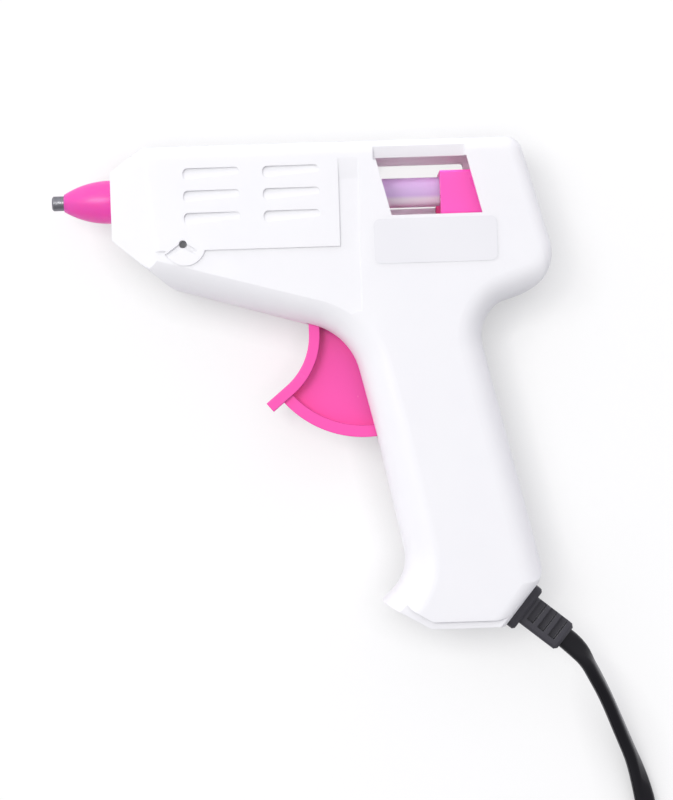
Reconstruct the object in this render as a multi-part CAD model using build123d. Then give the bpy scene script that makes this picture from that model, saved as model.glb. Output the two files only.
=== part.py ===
"""Small hot glue gun, lying on its right side.

Gun frame while modelling: x runs from the nose to the rear, y up through the barrel, z out of the left
side. The barrel's axis is y = z = 0, and z = 0 is also the seam between the two housing halves.
"""
from build123d import *
import math
import os

# --------------------------------------------------------------------------- housing (mm, degrees)
HALF_WIDTH = 13.0            # seam to side face
WALL = 2.0
NOSE_X = 0.5                 # front face
NOSE_TOP, NOSE_BOTTOM = 6.4, -9.85
NOSE_HALF_WIDTH = 7.5        # the side faces narrow to this at the front face
CHAMFER_X = 8.9              # the nose's top chamfer ends here
TAPER_X, TAPER_LEAN = 10.5, 7.0   # rear edge of the nose's tapering sides, and how far it leans back
BARREL_TOP = 12.1
REAR_TOP_X, REAR_LOW_X, REAR_LOW_Y = 99.05, 108.5, -22.5
TANG_X, TANG_Y = 87.2, -29.4
GRIP_REAR_X, GRIP_REAR_Y = 102.2, -93.5
GRIP_BOTTOM = -105.7
HEEL_X, SOLE_X = 92.3, 74.6  # ends of the grip's flat bottom
TOE_X, TOE_Y = 63.3, -99.2
INSTEP_X, INSTEP_Y = 70.1, -92.6
THUMB_X, THUMB_Y = 63.1, -58.9
THROAT_X, THROAT_Y = 57.2, -34.2
CHIN_X, CHIN_Y = 14.4, -21.7
EDGE_R = 3.2                 # rounding along the top and the rear
BELLY_R = 8.0                # rounding along the underside, throat and grip front
BACK_R = 5.8                 # rounding round the tang and down the grip's rear
CAVITY_EDGE_R = 2.0
SOLE_BEVEL = 1.7

# corners (x, y, radius), clockwise from the nose's top
SIDE = [
    (NOSE_X, NOSE_TOP, 0), (CHAMFER_X, BARREL_TOP, 0), (REAR_TOP_X, BARREL_TOP, 4.2),
    (REAR_LOW_X, REAR_LOW_Y, 10.0), (TANG_X, TANG_Y, 9.6), (GRIP_REAR_X, GRIP_REAR_Y, 6.5),
    (HEEL_X, GRIP_BOTTOM, 0), (SOLE_X, GRIP_BOTTOM, 0), (TOE_X, TOE_Y, 0),
    (INSTEP_X, INSTEP_Y, 11.0), (THUMB_X, THUMB_Y, 40.0), (THROAT_X, THROAT_Y, 15.5),
    (CHIN_X, CHIN_Y, 4.5), (NOSE_X, NOSE_BOTTOM, 0),
]
FAR = 160.0                  # well outside the gun

# side details
PANEL_STEP = 0.5
PANEL_X, PANEL_Y = 55.6, -13.2   # rear and lower edges of the raised vent panel
PANEL_TOP_GAP, PANEL_FADE = 4.2, 5.0
BACK_STEP_X, BACK_STEP_END_Y = 60.4, -43.0
VENT_X = (18.4, 37.5)
VENT_TOP = (6.5, 1.15, -4.2)
VENT_LENGTH, VENT_HEIGHT, VENT_DEPTH = 13.5, 2.7, 0.9
VENT_RISE = 0.35             # how much less deep a vent is at its rear end
WINDOW_TOP, WINDOW_BOTTOM = 7.65, -6.2
WINDOW_FRONT_X, WINDOW_LENGTH = 64.6, 21.8   # at the top edge
WINDOW_SLANT = 14.2
SCOOP_HEIGHT, SCOOP_DEPTH = 3.4, 1.3
LABEL_X, LABEL_TOP, LABEL_LENGTH, LABEL_HEIGHT = 63.7, -7.0, 29.5, 10.7
LABEL_THICKNESS, LABEL_CORNER_R = 0.12, 1.5
STAND_X, STAND_Y, STAND_BORE_R, STAND_BORE_DEPTH = 17.9, -11.6, 0.95, 5.0
STAND_BOSS_SHIFT, STAND_BOSS_R, STAND_RIM = (0.5, -0.3), 4.9, 0.6
STAND_SKIRT_R, STAND_SKIRT, STAND_BORE_WALL = 7.0, 2.0, 1.5
STAND_GROOVES = ((-4.0, -2.85), (3.1, -2.0))
STAND_GROOVE_WIDTH, STAND_GROOVE_DEPTH = 1.1, 0.9

# --------------------------------------------------------------------------- glue path
STICK_R = 3.6
STICK_FRONT, STICK_REAR = 20.0, 95.0
STICK_CLEARANCE = 0.15
INLET_R = 3.9
INLET_FRONT, INLET_FACE = 96.5, 101.3    # the inlet collar's bore runs between these
INLET_COLLAR_R, INLET_SPOT_R = 6.6, 5.2
STICK_GUIDE_X, RIB = 62.2, 1.6

# --------------------------------------------------------------------------- nozzle and heater
TIP_X, TIP_R, ORIFICE_R = -14.3, 1.8, 0.75
CONE_R, SHOULDER_R = 2.9, 4.0    # the nozzle under its cover, and its shoulder against the chamber
COVER_X, COVER_TIP_R, COVER_MID_R, COVER_R = -11.35, 2.15, 4.62, 5.25
COVER_FLANGE_R, COVER_FLANGE, COVER_CLEARANCE = 6.3, 1.6, 0.1
THREAD_R, THREAD_LENGTH = 2.7, 4.8
CHAMBER_X, CHAMBER_REAR, CHAMBER_R = 4.6, 42.0, 6.3
SPIGOT_R, SPIGOT = 4.45, 4.5
CHAMBER_BORE_R = STICK_R + STICK_CLEARANCE
CHAMBER_RIBS_X = (10.2, 37.4)
HEATER_X, HEATER_LENGTH = 14.0, 22.0
TUNNEL_TOP, TUNNEL_HEIGHT, TUNNEL_HALF_WIDTH, TUNNEL_WALL = -7.3, 4.2, 3.7, 1.3
FILM = 0.15
ELECTRODE, ELECTRODE_HALF_WIDTH, TAB_LENGTH, TAB_HALF_WIDTH = 0.3, 2.6, 7.0, 1.1
TAB_Z = 1.4                  # the two tabs stand side by side
PTC_LENGTH, PTC_THICKNESS, PTC_HALF_WIDTH = 14.0, 2.0, 3.1
SLEEVE_R, SLEEVE_REAR = 5.6, 61.8
CLAMP_RING_X, CLAMP_RING_LENGTH, CLAMP_RING = 43.2, 2.0, 0.5

# --------------------------------------------------------------------------- trigger and carriage
PIVOT_X, PIVOT_Y = 60.4, -33.2
PIVOT_R, PIVOT_CLEARANCE = 2.5, 0.05
HUB_R, HUB_HALF_LENGTH, HUB_CLEARANCE, PIVOT_SHOULDER_R = 3.9, 5.0, 0.15, 4.4
FAN_R, RIM, RIM_HALF_WIDTH = 26.0, 2.8, 4.0
FAN_END = 292.0              # angle of the fan's hidden rear edge
WEB_HALF = 1.25
BAND, BAND_HALF_WIDTH = 2.6, 5.0
BAND_X = 47.3                # front of the finger band where it leaves the housing
BAND_R, BAND_SLOPE, BAND_LOW_LENGTH = 16.0, 39.7, 6.5
BAND_STRAIGHT, BAND_ABOVE = 2.9, 2.2   # the band's upper straight, and how far it starts above the pivot
SKIRT_END = 143.0            # angle of the hidden upper end of the band
ARM_R, STROKE = 23.6, 10.0   # pivot to knob, and how far the carriage moves
ARM_TIP = 1.0                # half the arm's width at the knob
KNOB_R, KNOB_HALF_WIDTH, KNOB_CLEARANCE = 1.9, 2.5, 0.15
SWING = 2 * math.degrees(math.asin(STROKE / 2 / ARM_R))
SLOT_CLEARANCE, SLOT_ABOVE = 0.4, 6.0
SLOT_HALF_WIDTH = BAND_HALF_WIDTH + SLOT_CLEARANCE
CARRIAGE_X, CARRIAGE_LENGTH, CARRIAGE_TOP, CARRIAGE_HALF_WIDTH = 80.1, 12.2, 4.6, 8.5
SLIDE_CLEARANCE = 0.15
CARRIAGE_BOTTOM = WINDOW_BOTTOM + SLIDE_CLEARANCE
KEEL_HALF_WIDTH, KEEL_TOP, KEEL_BOTTOM, KEEL_FRONT = 3.0, -6.4, -12.4, 60.6
LEDGE = 1.4
FOOT, FOOT_HALF_WIDTH = 1.4, 5.0
JAW_FRONT, JAW_LENGTH, JAW_HALF_WIDTH = 79.2, 9.5, 3.0
JAW_FLOOR, JAW_CLEARANCE, JAW_TEETH, JAW_PITCH, TOOTH = 0.4, 0.05, 5, 1.6, 0.7
FAR_RAIL_TOP, FAR_RAIL_DEPTH = -3.3, 1.7

PEG_R, PEG_ARM, PEG_END = 0.9, 13.0, 5.6
SPRING_Z, SPRING_R, SPRING_WIRE_R, SPRING_PITCH = 4.0, 1.7, 0.3, 2.1
SPRING_LEAD, SPRING_EYE_CLEARANCE = 2.2, 0.05
SPRING_POST_X, SPRING_POST_Y, SPRING_POST_R = 84.5, -21.5, 1.5

# --------------------------------------------------------------------------- screws
SCREW_XY = ((28.0, -17.6), (58.6, 8.3), (98.0, -14.6), (83.5, -57.5), (79.0, -93.0))
SCREW_R, SCREW_HEAD_R, SCREW_HEAD, SCREW_LENGTH = 1.3, 2.4, 1.8, 17.0
BOSS_R, PASSAGE_R, COUNTERBORE_R = 2.7, 1.55, 2.7
COUNTERBORE_BOSS_R = COUNTERBORE_R + 1.1
HEAD_SEAT_Z = 9.8            # the screw heads' seats, measured from the seam
THREAD_CLEARANCE = 0.02

# --------------------------------------------------------------------------- cord entry
RELIEF_AT = 9.3              # from the grip's rear corner down the slanted face that the cord leaves
RELIEF_FLANGE, RELIEF_FLANGE_LENGTH, RELIEF_FLANGE_WIDTH = 2.6, 12.0, 11.0
RELIEF_SLEEVE, RELIEF_SLEEVE_HEIGHT, RELIEF_SLEEVE_WIDTH = 11.4, 7.7, 7.4
RELIEF_SLEEVE_CORNER, RELIEF_FLANGE_CORNER, RELIEF_PLAY = 0.9, 1.2, 0.1
RELIEF_RECESS, RELIEF_RIB, RELIEF_SPINE = 1.9, 1.3, 1.9
RELIEF_RECESS_START, RELIEF_RECESS_DEPTH = 1.1, 1.9
RELIEF_NECK_LENGTH, RELIEF_NECK_WIDTH, RELIEF_INNER = 7.2, 7.2, 2.0
RELIEF_HOLE_PLAY = 0.05
CORD_WIDTH, CORD_THICKNESS = 5.2, 3.2
TAIL = 13.0                  # jacketed cord inside the grip, from the slanted face
CLAMP_AT, CLAMP_HALF_LENGTH, CLAMP_HALF_WIDTH, CLAMP_BAR = 9.2, 7.4, 2.4, 2.4
CLAMP_SCREW_AT, CLAMP_SCREW_R, CLAMP_SCREW_HEAD_R, CLAMP_SCREW_LENGTH = 5.0, 1.1, 2.0, 8.0
CLAMP_BOSS_R, CLAMP_CORNER_R, CLAMP_SCREW_HEAD, CLAMP_PASSAGE = 2.4, 2.0, 1.4, 0.2
CLAMP_TOP = CORD_THICKNESS / 2 + CLAMP_BAR
WIRE_R = 0.8
WIRE_ROUTE = [                # on the side of the trigger
    (52.0, -14.0, 6.0), (62.0, -22.0, 9.0), (72.0, -45.0, 9.0), (78.0, -66.0, 8.0), (81.8, -82.0, 5.0),
]
WIRE_AT_TAIL = 1.3           # beside the tail's axis, where each wire comes out of the jacket
CRIMP_R, CRIMP_LENGTH = 1.25, 5.0

# --------------------------------------------------------------------------- free cord and plug
CORD_R = math.sqrt(CORD_WIDTH * CORD_THICKNESS) / 2   # a round tube of about the flat cord's section
LIE = CORD_R - HALF_WIDTH    # height of its axis where it lies on the table
STRAIGHT_OUT = 5.0           # straight out of the strain relief
# its route from there to the coil
CORD_ROUTE = [
    (115.0, -118.3, -1.0), (118.7, -124.9, -4.0), (121.9, -134.0, -7.6),
    (124.3, -143.5, -10.0), (126.6, -154.5, LIE), (128.3, -167.0, LIE), (129.2, -180.0, LIE),
    (129.6, -193.0, LIE),
]
COIL_R, COIL_COLUMNS, COIL_LAYERS, COIL_GAP = 28.0, 3, 2, 0.1
COIL_WIDTH = COIL_COLUMNS * (CORD_WIDTH + COIL_GAP)
COIL_HEIGHT = COIL_LAYERS * (CORD_THICKNESS + COIL_GAP)
COIL_OUTER_TURN = COIL_R + (COIL_COLUMNS - 1) / 2 * (CORD_WIDTH + COIL_GAP)
PLUG_LENGTH, PLUG_WIDTH, PLUG_THICKNESS, PLUG_NECK = 36.0, 35.3, 13.7, 14.0
PLUG_HEAD, PLUG_FLARE, PLUG_TAPER = 9.0, 3.2, 12.0
PLUG_RELIEF, PLUG_RELIEF_R, PLUG_RELIEF_WALL, PLUG_AWAY = 12.0, 4.2, 0.9, 14.0
PIN_R, PIN_LENGTH, PIN_SPACING, PIN_COLLAR_R, PIN_COLLAR = 2.0, 19.0, 18.6, 1.9, 10.0


def block(x0, x1, y0, y1, z0, z1):
    """A box between two corners."""
    return Pos((x0 + x1) / 2, (y0 + y1) / 2, (z0 + z1) / 2) * Box(abs(x1 - x0), abs(y1 - y0), abs(z1 - z0))


def post(x, y, z0, z1, radius):
    """A cylinder along z."""
    return Pos(x, y, (z0 + z1) / 2) * Cylinder(radius, abs(z1 - z0))


def rod(x0, x1, radius, y=0.0, z=0.0):
    """A cylinder along x."""
    return Pos((x0 + x1) / 2, y, z) * Rot(0, 90, 0) * Cylinder(radius, abs(x1 - x0))


def turned(*profile):
    """A solid of revolution about the barrel's axis from (x, radius) points."""
    return revolve(make_face(Polyline(*profile, close=True)), Axis.X)


def prism(points, z0, z1):
    """A plate between two heights from a list of (x, y) points."""
    face = make_face(Polyline(*points, close=True))
    return Pos(0, 0, z0) * extrude(face, amount=z1 - z0, dir=(0, 0, 1))


def polar(radius, angle, x=PIVOT_X, y=PIVOT_Y):
    """A point at a radius and an angle from the trigger's pivot."""
    return (x + radius * math.cos(math.radians(angle)), y + radius * math.sin(math.radians(angle)))


# --------------------------------------------------------------------------- housing form
def inset_corners(corners, inset):
    """Move each side of a clockwise outline inwards, and fit the corner radii to it."""
    count = len(corners)
    sides = []
    for i in range(count):
        (x0, y0, _), (x1, y1, _) = corners[i], corners[(i + 1) % count]
        length = math.hypot(x1 - x0, y1 - y0)
        dx, dy = (x1 - x0) / length, (y1 - y0) / length
        sides.append((x0 + dy * inset, y0 - dx * inset, dx, dy))
    moved = []
    for i in range(count):
        ax, ay, adx, ady = sides[i - 1]
        bx, by, bdx, bdy = sides[i]
        turn = adx * bdy - ady * bdx
        t = ((bx - ax) * bdy - (by - ay) * bdx) / turn
        radius = corners[i][2]
        if radius:
            radius = radius + inset if turn > 0 else max(radius - inset, 0.5)
        moved.append((ax + adx * t, ay + ady * t, radius))
    return moved


def outline_prism(corners, inset, depth):
    """The outline's plate from the seam out to a depth."""
    moved = inset_corners(corners, inset)
    wire = FilletPolyline(*[(x, y) for x, y, _ in moved], radius=[r for _, _, r in moved], close=True)
    return extrude(make_face(wire.edges()), amount=depth, dir=(0, 0, 1))


def rounded_prism(corners, inset, depth, radius, keep_sharp=None):
    """The plate with its outer edge rounded."""
    plate = outline_prism(corners, inset, depth)
    rim = plate.faces().sort_by(Axis.Z)[-1].edges()
    if keep_sharp:
        rim = [edge for edge in rim if not keep_sharp(edge.center())]
    return fillet(rim, radius)


def between(a, b, t):
    """A point on the line through two corners, at t times the way from a to b."""
    return (a[0] + (b[0] - a[0]) * t, a[1] + (b[1] - a[1]) * t, 0)


def belly_outline():
    """The underside, throat and grip front, with everything else moved far out."""
    chin, throat, thumb, instep, toe = SIDE[12], SIDE[11], SIDE[10], SIDE[9], SIDE[8]
    return [
        (-FAR, FAR, 0), (FAR * 2, FAR, 0), (FAR * 2, -FAR, 0),
        between(instep, toe, 8.0), instep, thumb, throat, between(throat, chin, 3.0),
    ]


def back_outline():
    """The tang and the grip's rear, with everything else moved far out."""
    low, tang, heel = SIDE[3], SIDE[4], SIDE[5]
    lift = between(low, tang, -2.0)
    return [
        (-FAR, FAR, 0), (FAR * 1.5, FAR, 0), (FAR * 1.5, 0, 0), (low[0] + 2.6, lift[1] + 8.6, 6.0),
        (low[0] - 0.9, low[1] - 0.3, 9.0), tang, between(tang, heel, 1.8), (-FAR, -FAR, 0),
    ]


def nose_wedge(inset):
    """What the nose's tapering side face takes away, square to the taper's leaning rear edge."""
    slope = (HALF_WIDTH - NOSE_HALF_WIDTH) / ((TAPER_X - NOSE_X) * math.cos(math.radians(TAPER_LEAN)))
    drop = inset * math.sqrt(1 + slope * slope)
    rear = (drop - inset) / slope
    profile = Polyline((-FAR, FAR), (-FAR, HALF_WIDTH - slope * FAR - drop), (rear, HALF_WIDTH - inset),
                       (rear, FAR), close=True)
    wedge = Pos(0, FAR / 2, 0) * Rot(90, 0, 0) * extrude(make_face(profile), amount=FAR, dir=(0, 0, 1))
    return Pos(TAPER_X, 0, 0) * Rot(0, 0, TAPER_LEAN) * wedge


def sole_bevels():
    """The bevels under the grip: one along the flat bottom and one along the toe."""
    cuts = []
    for start, end in ((SIDE[6], SIDE[7]), (SIDE[7], SIDE[8])):
        dx, dy = end[0] - start[0], end[1] - start[1]
        length = math.hypot(dx, dy)
        corner = Plane((start[0], start[1], HALF_WIDTH), x_dir=(dy / length, -dx / length, 0),
                       z_dir=(dx / length, dy / length, 0))
        triangle = Polyline((-1, -SOLE_BEVEL * 1.6), (-1, 1), (SOLE_BEVEL * 1.4, 1), (SOLE_BEVEL, 0),
                            (0, -SOLE_BEVEL * 1.2), close=True)
        cuts.append(corner * extrude(make_face(triangle), amount=FAR / 4, both=True))
    return cuts


def away_from_edges(inset):
    """Says which edges of the side face stay unrounded: the grip's bottom and toe, and the nose's front."""
    def keep(point):
        under_grip = point.Y < GRIP_BOTTOM + inset + 0.5
        under_toe = point.X < SOLE_X and point.Y < TOE_Y + inset
        return under_grip or under_toe or point.X < NOSE_X + inset + 0.5
    return keep


def outer_form():
    """Half of the gun's outer form."""
    form = rounded_prism(SIDE, 0, HALF_WIDTH, EDGE_R, away_from_edges(0))
    form &= rounded_prism(belly_outline(), 0, HALF_WIDTH, BELLY_R)
    form &= rounded_prism(back_outline(), 0, HALF_WIDTH, BACK_R)
    form -= nose_wedge(0)
    for cut in sole_bevels():
        form -= cut
    return form


def hollow_form():
    """What the wall leaves inside half of the gun."""
    least = CAVITY_EDGE_R + WALL + 0.3
    side = [(x, y, max(radius, least) if 0 < radius < least else radius) for x, y, radius in SIDE]
    depth = HALF_WIDTH - WALL
    form = rounded_prism(side, WALL, depth, CAVITY_EDGE_R, away_from_edges(WALL))
    form &= rounded_prism(belly_outline(), WALL, depth, BELLY_R - WALL)
    return form - nose_wedge(WALL)


# --------------------------------------------------------------------------- housing details
def vent_cuts():
    """Louvre recesses, deepest at their upper front corner."""
    fall = math.degrees(math.atan2(VENT_DEPTH - 0.03, VENT_HEIGHT))
    rise = math.degrees(math.atan2(VENT_RISE, VENT_LENGTH))
    cuts = []
    for x in VENT_X:
        for top in VENT_TOP:
            face = Pos(x + VENT_LENGTH / 2, top - VENT_HEIGHT / 2) * RectangleRounded(
                VENT_LENGTH, VENT_HEIGHT, VENT_HEIGHT * 0.4)
            slot = extrude(Pos(0, 0, HALF_WIDTH - VENT_DEPTH) * face, amount=VENT_DEPTH * 2, dir=(0, 0, 1))
            above_floor = block(-1, VENT_LENGTH + 1, -2 * VENT_HEIGHT, 1, 0, 3)
            cuts.append(slot & Pos(x, top, HALF_WIDTH - VENT_DEPTH) * Rot(-fall, -rise, 0) * above_floor)
    return cuts


def window_corners(margin=0.0):
    """The window's parallelogram in the side face."""
    slant = math.tan(math.radians(WINDOW_SLANT))
    height = WINDOW_TOP - WINDOW_BOTTOM
    low_x = WINDOW_FRONT_X + height * slant
    return [
        (WINDOW_FRONT_X - margin, WINDOW_TOP + margin),
        (WINDOW_FRONT_X + WINDOW_LENGTH + margin, WINDOW_TOP + margin),
        (low_x + WINDOW_LENGTH + margin, WINDOW_BOTTOM - margin),
        (low_x - margin, WINDOW_BOTTOM - margin),
    ]


def window_cut():
    """The window through the side wall, and the scoop that leads down to its upper edge."""
    hole = prism(window_corners(), HALF_WIDTH - WALL - 1.5, HALF_WIDTH + 1)
    top = WINDOW_TOP
    ramp = make_face(Polyline(
        (top - 0.5, HALF_WIDTH - SCOOP_DEPTH), (top, HALF_WIDTH - SCOOP_DEPTH),
        (top + SCOOP_HEIGHT, HALF_WIDTH - 0.1), (top + SCOOP_HEIGHT, HALF_WIDTH + 1),
        (top - 0.5, HALF_WIDTH + 1), close=True))
    scoop = Pos(WINDOW_FRONT_X - 0.6, 0, 0) * extrude(Plane.YZ * ramp, amount=WINDOW_LENGTH + 0.2)
    return [hole, scoop]


def panel_cut():
    """The lower ground round the vent panel: a strip behind it, and a floor that rises down the grip."""
    low, top = HALF_WIDTH - PANEL_STEP, BARREL_TOP - PANEL_TOP_GAP
    behind = make_face(Polyline(
        (PANEL_Y - 1, HALF_WIDTH + 1), (PANEL_Y - 1, low), (top - PANEL_FADE, low), (top, HALF_WIDTH),
        (top, HALF_WIDTH + 1), close=True))
    strip = Pos(PANEL_X, 0, 0) * extrude(Plane.YZ * behind, amount=BACK_STEP_X - PANEL_X)
    floor = make_face(Polyline(
        (PANEL_Y, low), (PANEL_Y, HALF_WIDTH + 1), (BACK_STEP_END_Y, HALF_WIDTH + 1),
        (BACK_STEP_END_Y, HALF_WIDTH), close=True))
    ground = Pos(NOSE_X, 0, 0) * extrude(Plane.YZ * floor, amount=BACK_STEP_X - NOSE_X)
    return [strip, ground]


def stand_boss():
    """The boss that takes one leg of a wire stand: a raised disc on a sloping skirt, round a blind bore."""
    x, y = STAND_X + STAND_BOSS_SHIFT[0], STAND_Y + STAND_BOSS_SHIFT[1]
    top = HALF_WIDTH - STAND_RIM
    foot = top - STAND_SKIRT
    boss = Pos(x, y, foot + STAND_SKIRT / 2) * Cone(STAND_SKIRT_R, STAND_BOSS_R, STAND_SKIRT)
    boss += post(x, y, top, HALF_WIDTH, STAND_BOSS_R)
    around_bore = post(STAND_X, STAND_Y, HALF_WIDTH - STAND_BORE_DEPTH - 1, top, STAND_BORE_R + STAND_BORE_WALL)
    return boss + around_bore


def stand_cuts():
    """The stand's hole and the two grooves that its wire lies in."""
    cuts = [post(STAND_X, STAND_Y, HALF_WIDTH - STAND_BORE_DEPTH, HALF_WIDTH + 1, STAND_BORE_R)]
    for dx, dy in STAND_GROOVES:
        length, angle = math.hypot(dx, dy), math.degrees(math.atan2(dy, dx))
        groove = Pos(length / 2, 0, 0) * Box(length, STAND_GROOVE_WIDTH, 2 * STAND_GROOVE_DEPTH)
        cuts.append(Pos(STAND_X, STAND_Y, HALF_WIDTH) * Rot(0, 0, angle) * groove)
    return cuts


def trigger_slot():
    """The space the trigger swings through, in one half."""
    front, low = BAND_X - SLOT_CLEARANCE, PIVOT_Y - FAN_R
    corners = [(PIVOT_X, PIVOT_Y), (front, PIVOT_Y + SLOT_ABOVE), (front, low),
               (PIVOT_X, low - 4), (PIVOT_X + FAN_R / 2, low - 4)]
    sector = prism(corners, 0, SLOT_HALF_WIDTH)
    return sector & post(PIVOT_X, PIVOT_Y, 0, SLOT_HALF_WIDTH, FAN_R + SLOT_CLEARANCE)


def chamber_ribs():
    """Ribs that carry the melt chamber, the sleeve's rear end and the stick."""
    ribs = []
    for x in CHAMBER_RIBS_X:
        plate = block(x, x + RIB, -FAR, BARREL_TOP, 0, HALF_WIDTH) - rod(x - 1, x + RIB + 1, CHAMBER_R)
        tunnel = block(x - 1, x + RIB + 1, TUNNEL_TOP - TUNNEL_HEIGHT - 3, 0, 0, TUNNEL_HALF_WIDTH)
        ribs.append((plate & block(x, x + RIB, CHIN_Y, BARREL_TOP, 0, HALF_WIDTH)) - tunnel)
    x = STICK_GUIDE_X
    guide = block(x, x + RIB, KEEL_BOTTOM - 2, BARREL_TOP, 0, HALF_WIDTH)
    guide -= rod(x - 1, x + RIB + 1, INLET_R)
    guide -= block(x - 1, x + RIB + 1, -FAR, 0, 0, KEEL_HALF_WIDTH + SLIDE_CLEARANCE)
    ribs.append(guide)
    return ribs


def carriage_ledge():
    """The ledge under the feed carriage, whose keel runs in the gap between the two halves' ledges."""
    top = CARRIAGE_BOTTOM - SLIDE_CLEARANCE
    return block(STICK_GUIDE_X, INLET_FRONT, top - LEDGE, top, KEEL_HALF_WIDTH + SLIDE_CLEARANCE, HALF_WIDTH)


def pivot_post():
    """The trigger's pivot, with a shoulder that holds the hub sideways."""
    pin = post(PIVOT_X, PIVOT_Y, 0, HALF_WIDTH, PIVOT_R)
    return pin + post(PIVOT_X, PIVOT_Y, HUB_HALF_LENGTH + HUB_CLEARANCE, HALF_WIDTH, PIVOT_SHOULDER_R)


def inlet_collar():
    """The collar behind the rear wall that the glue stick is pushed in through."""
    half = block(INLET_FRONT, REAR_LOW_X, -FAR, FAR, 0, FAR)
    return rod(INLET_FRONT, REAR_LOW_X, INLET_COLLAR_R) & half


def inlet_cut():
    """The stick's bore, and the round spot face at its mouth."""
    half = block(STICK_GUIDE_X, REAR_LOW_X + 9, -FAR, FAR, -1, FAR)
    return (rod(INLET_FRONT - 1, REAR_LOW_X, INLET_R) + rod(INLET_FACE, REAR_LOW_X + 8, INLET_SPOT_R)) & half


def relief_plane():
    """The slanted face that the cord leaves: z along the cord, x down the face, y towards the right side."""
    dx, dy = HEEL_X - GRIP_REAR_X, GRIP_BOTTOM - GRIP_REAR_Y
    length = math.hypot(dx, dy)
    middle = (GRIP_REAR_X + dx / length * RELIEF_AT, GRIP_REAR_Y + dy / length * RELIEF_AT, 0)
    return Plane(middle, x_dir=(dx / length, dy / length, 0), z_dir=(-dy / length, dx / length, 0))


def relief_hole():
    """The hole in the slanted face for the strain relief's neck, in both halves."""
    length, width = (size + 2 * RELIEF_HOLE_PLAY for size in (RELIEF_NECK_LENGTH, RELIEF_NECK_WIDTH))
    return relief_plane() * Pos(0, 0, -WALL) * Box(length, width, 8 * WALL)


def screw_bosses(right):
    """Bosses for the housing screws: pilot bosses on the left, counterbored ones on the right."""
    bosses = [post(x, y, 0, HALF_WIDTH, BOSS_R) for x, y in SCREW_XY]
    if right:
        bosses += [post(x, y, HEAD_SEAT_Z - 2.0, HALF_WIDTH, COUNTERBORE_BOSS_R) for x, y in SCREW_XY]
    return bosses


def screw_holes(right):
    """The screws' holes in one half."""
    holes = []
    for x, y in SCREW_XY:
        if right:
            holes.append(post(x, y, -1, HALF_WIDTH, PASSAGE_R))
            holes.append(post(x, y, HEAD_SEAT_Z, HALF_WIDTH + 1, COUNTERBORE_R))
        else:
            holes.append(post(x, y, -1, SCREW_LENGTH - HEAD_SEAT_Z + 0.8, SCREW_R + THREAD_CLEARANCE))
    return holes


def housing_half(outer, hollow, right):
    """One half of the housing, on the z > 0 side of the seam."""
    shell = outer - hollow
    inside = [*chamber_ribs(), carriage_ledge(), inlet_collar(), *screw_bosses(right)]
    if right:
        inside += clamp_supports()
    else:
        inside.append(post(SPRING_POST_X, SPRING_POST_Y, SPRING_Z - 1.6, HALF_WIDTH, SPRING_POST_R))
    for piece in inside:
        shell += piece & outer
    for cut in [*vent_cuts(), *window_cut(), *panel_cut()]:
        shell -= cut
    beside_stand = post(STAND_X, STAND_Y, HALF_WIDTH - STAND_RIM - STAND_SKIRT, HALF_WIDTH, 2 * STAND_SKIRT_R)
    shell += stand_boss() & (outer + beside_stand)
    if right:
        shell += far_rail()
    cuts = [*stand_cuts(), trigger_slot(), inlet_cut(), relief_hole(), *screw_holes(right)]
    cuts += clamp_screw_holes() if right else []
    for cut in cuts:
        shell -= cut
    shell -= rod(NOSE_X - 5, NOSE_X + WALL + 1, COVER_R + COVER_CLEARANCE)
    seat = NOSE_X + WALL
    shell -= rod(seat, seat + COVER_FLANGE + 2 * COVER_CLEARANCE, COVER_FLANGE_R + COVER_CLEARANCE)
    return shell + (pivot_post() & outer)


def far_rail():
    """The rail along the window's lower edge, inside the right half."""
    return block(STICK_GUIDE_X, INLET_FRONT, CARRIAGE_BOTTOM - SLIDE_CLEARANCE - 0.5, FAR_RAIL_TOP,
                 HALF_WIDTH - WALL - FAR_RAIL_DEPTH, HALF_WIDTH - WALL + 0.2)


def clamp_supports():
    """The bed and screw bosses of the cord clamp, in the right half, on the z > 0 side of the seam."""
    plane = relief_plane()
    supports = []
    for side in (-1, 1):
        at = plane * Pos(side * CLAMP_SCREW_AT, 0, -CLAMP_AT)
        supports.append(post(at.position.X, at.position.Y, 0, HALF_WIDTH, CLAMP_BOSS_R))
    bed = HALF_WIDTH - CORD_THICKNESS / 2
    middle = Pos(0, -CORD_THICKNESS / 2 - bed / 2, -CLAMP_AT)
    supports.append(plane * middle * Box(2 * CLAMP_SCREW_AT, bed, CLAMP_HALF_WIDTH))
    return supports


def clamp_screw_holes():
    """Pilot holes for the cord clamp's screws."""
    holes = []
    for side in (-1, 1):
        at = relief_plane() * Pos(side * CLAMP_SCREW_AT, 0, -CLAMP_AT)
        holes.append(post(at.position.X, at.position.Y, -1, CLAMP_SCREW_LENGTH - CLAMP_TOP + 0.5,
                          CLAMP_SCREW_R + THREAD_CLEARANCE))
    return holes


# --------------------------------------------------------------------------- nozzle, heater and stick
def nozzle_tip():
    """The nozzle: a tip, a cone under its cover, a shoulder against the chamber and a threaded end."""
    end = CHAMBER_X + THREAD_LENGTH - 0.2
    return turned(
        (TIP_X, ORIFICE_R), (TIP_X, TIP_R - 0.35), (TIP_X + 0.35, TIP_R), (COVER_X + 1.2, TIP_R),
        (COVER_X + 5.0, CONE_R), (NOSE_X, SHOULDER_R), (CHAMBER_X, SHOULDER_R), (CHAMBER_X, THREAD_R),
        (end, THREAD_R), (end, 1.9), (COVER_X + 6.0, 1.4), (COVER_X + 2.0, ORIFICE_R),
    )


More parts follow.
